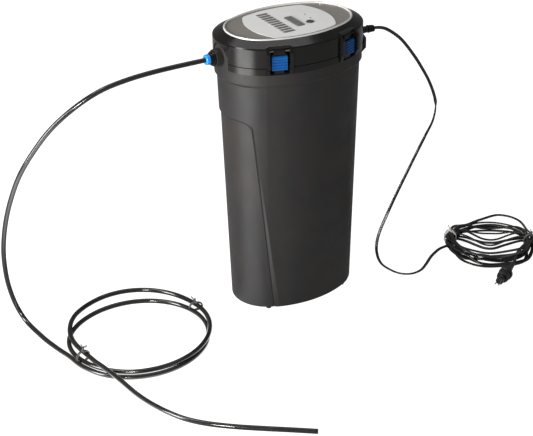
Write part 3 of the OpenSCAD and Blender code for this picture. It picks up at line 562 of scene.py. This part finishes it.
# ---------------------------------------------------------------- pouch of liquid
def pouch(m):
    """A filled film pouch: rounded sides, welded side seams and creases at the shoulders."""
    low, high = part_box("pouch")
    a0, b0 = (high.x - low.x) / 2, (high.y - low.y) / 2
    z0, height = low.z, high.z - low.z
    levels, around = 56, 128
    foot_height, shoulder_height = 34, 190
    verts, faces = [], []
    for i in range(levels + 1):
        t = i / levels
        z = t * height
        mm = z / MM
        foot = min(1, mm / foot_height)
        side = 0.80 + 0.18 * math.sqrt(foot * (2 - foot))
        shoulder = max(0.0, (mm - shoulder_height) / (height / MM - shoulder_height))
        side -= 0.60 * shoulder ** 2.1
        narrow = 1 - 0.62 * shoulder ** 1.7
        for k in range(around):
            u = 2 * math.pi * k / around
            c, s = math.cos(u), math.sin(u)
            x = a0 * side * math.copysign(abs(c) ** 0.92, c)
            y = b0 * side * narrow * math.copysign(abs(s) ** 0.92, s)
            crease = (0.7 * math.sin(9 * u + 3 * math.sin(5 * t + 1))
                      + 0.5 * math.sin(17 * u - 11 * t) + 0.5 * math.sin(23 * t + 4 * c))
            crease *= (0.35 + 1.6 * shoulder + 0.5 * (1 - foot)) * MM
            seam = math.exp(-(s / 0.035) ** 2) * 1.2 * MM
            push = seam - abs(crease) * 0.9 - 0.8 * MM
            top_wave = 0.6 * MM * math.sin(6 * u) * shoulder
            verts.append((x + push * c, y + push * s, z0 + z * 0.995 + top_wave))
    for i in range(levels):
        for k in range(around):
            n = (k + 1) % around
            faces.append((i * around + k, i * around + n,
                          (i + 1) * around + n, (i + 1) * around + k))
    faces.append([around - 1 - k for k in range(around)])
    top = [levels * around + k for k in range(around)]
    centre = len(verts)
    verts.append((0, 0, z0 + height * 0.997))
    faces.extend((top[k], top[(k + 1) % around], centre) for k in range(around))
    # Dent under the spout's flange
    spout_low, spout_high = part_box("pouch_spout")
    sx, sy = (spout_low.x + spout_high.x) / 2, (spout_low.y + spout_high.y) / 2
    out = []
    for x, y, z in verts:
        d = math.hypot(x - sx, y - sy)
        limit = spout_low.z + max(0.0, d - 0.0125) * 1.3
        out.append((x, y, min(z, max(limit, z0)) if z > spout_low.z - 0.01 else z))
    obj = to_mesh("liquid_pouch", out, faces, m["film"])
    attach(obj, "canister")
    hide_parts("pouch")


# ---------------------------------------------------------------- CAD nodes
CAD_BEVELS = {
    "canister_shell": 0.0007, "head_cover": 0.0006, "head_base": 0.0012,
    "trim_ring": 0.0003, "port_body": 0.0004, "collet": 0.0003,
    "dose_rocker": 0.0004, "power_button": 0.0004, "plug_body": 0.0004,
    "plug_ring": 0.0004, "cord_boot": 0.0002, "latch_keepers": 0.0003,
}
LATCH_BEVELS = {"latch_arm": 0.0005, "latch_grip": 0.0004}


def bevel_width(name):
    for start, width in LATCH_BEVELS.items():
        if name.startswith(start):
            return width
    return CAD_BEVELS.get(name, 0.0)


def cad_nodes(m):
    slots = {r["node"]: r["material_slot"] for r in frame["record"]["subparts"]}
    for name, obj in nodes.items():
        made = m[slots[name]]
        if not obj.material_slots:
            obj.data.materials.append(made)
        for s in obj.material_slots:
            s.link = "OBJECT"
            s.material = made
        width = bevel_width(name)
        if width:
            bevel = obj.modifiers.new("edges", "BEVEL")
            bevel.width = width
            bevel.segments = 2
            bevel.limit_method = "ANGLE"
            bevel.angle_limit = math.radians(40)
            bevel.use_clamp_overlap = True


# ---------------------------------------------------------------- studio
FLOOR_SIZE = 40
STRIP_HEADING = 198
DIM = 0.18


def background():
    world = bpy.data.worlds.new("studio")
    world.use_nodes = True
    scene.world = world
    back = world.node_tree.nodes["Background"]
    back.inputs["Color"].default_value = (1, 1, 1, 1)
    # White to the camera, dim as a light
    g = Graph(world.node_tree)
    seen = g.add("LightPath").outputs["Is Camera Ray"]
    g.put(back.inputs["Strength"],
          g.add("MapRange", {"Value": seen, "To Min": DIM, "To Max": 1.0}).outputs["Result"])


def pale_floor():
    data = bpy.data.meshes.new("floor")
    size = FLOOR_SIZE
    data.from_pydata([(-size, -size, 0), (size, -size, 0), (size, size, 0),
                      (-size, size, 0)], [], [(0, 1, 2, 3)])
    floor = bpy.data.objects.new("floor", data)
    scene.collection.objects.link(floor)
    made = bpy.data.materials.new("floor_white")
    made.use_nodes = True
    shader = made.node_tree.nodes["Principled BSDF"]
    shader.inputs["Base Color"].default_value = (0.25, 0.25, 0.25, 1)
    shader.inputs["Roughness"].default_value = 0.9
    shader.inputs["Specular IOR Level"].default_value = 0.1
    shader.inputs["Emission Color"].default_value = (1, 1, 1, 1)
    # White to the camera, dimmer as a light, so that dark plastic stays dark
    g = Graph(made.node_tree)
    seen = g.add("LightPath").outputs["Is Camera Ray"]
    # The floor is brightest at the left, where the dark plastic mirrors it
    place = g.add("TexCoord").outputs["Object"]
    heading = math.radians(STRIP_HEADING)
    along = g.add("VectorMath", {0: place, 1: (math.cos(heading), math.sin(heading), 0)},
                  operation="DOT_PRODUCT").outputs["Value"]
    beside = g.add("VectorMath", {0: place, 1: (-math.sin(heading), math.cos(heading), 0)},
                   operation="DOT_PRODUCT").outputs["Value"]
    off = g.add("Math", {0: beside}, operation="ABSOLUTE").outputs[0]
    ahead = g.add("Math", {0: along, 1: 0.05}, operation="MAXIMUM").outputs[0]
    ratio = g.add("Math", {0: off, 1: ahead}, operation="DIVIDE").outputs[0]
    narrow = g.add("MapRange", {"Value": ratio, "From Min": 0.14, "From Max": 0.50,
                                "To Min": 1.0, "To Max": 0.0},
                   interpolation_type="SMOOTHSTEP").outputs["Result"]
    start = g.add("MapRange", {"Value": along, "From Min": 0.03, "From Max": 0.15,
                               "To Min": 0.0, "To Max": 1.0},
                  interpolation_type="SMOOTHSTEP").outputs["Result"]
    growth = g.add("MapRange", {"Value": along, "From Min": 0.1, "From Max": 0.95,
                                "To Min": 1.7, "To Max": 6.0}).outputs["Result"]
    stop = g.add("MapRange", {"Value": along, "From Min": 1.0, "From Max": 1.5,
                              "To Min": 1.0, "To Max": 0.0},
                 interpolation_type="SMOOTHSTEP").outputs["Result"]
    strip = g.add("Math", {0: start, 1: stop}, operation="MULTIPLY").outputs[0]
    strip = g.add("Math", {0: strip, 1: growth}, operation="MULTIPLY").outputs[0]
    patch = g.add("Math", {0: strip, 1: narrow, 2: 0.16}, operation="MULTIPLY_ADD")
    dim = g.add("Math", {0: 1.0, 1: seen}, operation="SUBTRACT")
    glow = g.add("Math", {0: dim.outputs[0], 1: patch.outputs[0], 2: seen},
                 operation="MULTIPLY_ADD")
    g.put(shader.inputs["Emission Strength"], glow.outputs[0])
    data.materials.append(made)


def area(name, place, target, size, power, colour=(1, 1, 1)):
    light = bpy.data.lights.new(name, "AREA")
    light.shape = "RECTANGLE"
    light.size, light.size_y = size
    light.energy = power
    light.color = colour
    obj = bpy.data.objects.new(name, light)
    obj.location = place
    aim = Vector(target) - Vector(place)
    obj.rotation_euler = aim.to_track_quat("-Z", "Y").to_euler()
    scene.collection.objects.link(obj)


def lights():
    area("key_left", (-1.7, -0.1, 0.7), (-0.05, 0, 0.2), (0.45, 0.9), 40, (1, 0.985, 0.96))
    area("sheen", (-1.35, -1.1, 0.75), (0, 0, 0.37), (0.2, 0.3), 26, (1, 0.97, 0.93))
    area("panel", (-0.9, 0.3, 1.9), (0, 0, 0.38), (0.5, 0.5), 8)
    area("top", (0.2, 0.6, 2.2), (0, 0, 0.3), (1.6, 1.2), 9)


camera()
looks = materials()
dosing_tube(looks)
power_lead(looks)
pouch(looks)
cad_nodes(looks)
background()
pale_floor()
lights()
